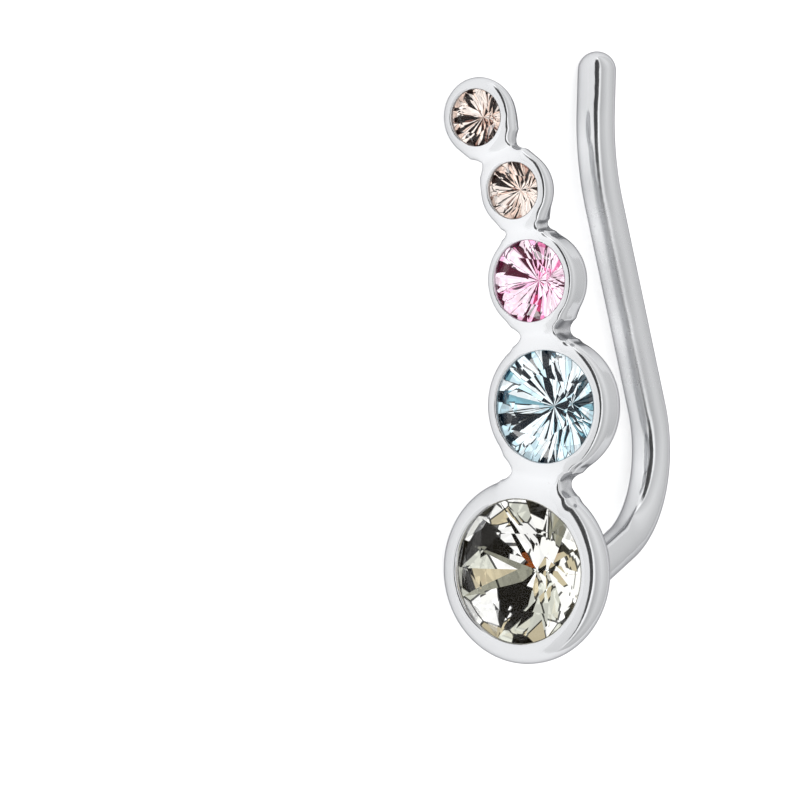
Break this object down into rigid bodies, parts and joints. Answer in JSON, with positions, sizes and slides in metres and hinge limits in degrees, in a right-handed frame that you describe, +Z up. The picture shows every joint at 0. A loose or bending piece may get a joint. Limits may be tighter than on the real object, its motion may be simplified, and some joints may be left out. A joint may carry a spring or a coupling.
{
  "type": "ear climber",
  "caption": "Silver ear climber with a rising row of round bezel-set crystals and a wire hook that holds it along the ear.",
  "frame": {"origin": "middle of the part's box, on the surface that it lies on", "axes": "+X along the row towards the large bezel, +Z up as it lies on its side, and the stones look towards -Y"},
  "size_m": [0.021, 0.01, 0.0065],
  "materials": {
    "silver": "polished silver",
    "peach_stone": "cut and polished",
    "pink_stone": "cut and polished",
    "aqua_stone": "cut and polished",
    "smoke_stone": "cut and polished"
  },
  "bodies": {
    "root": {"setting_and_hook": "silver", "stone_1": "peach_stone", "stone_2": "peach_stone", "stone_3": "pink_stone", "stone_4": "aqua_stone", "stone_5": "smoke_stone"}
  },
  "joints": []
}
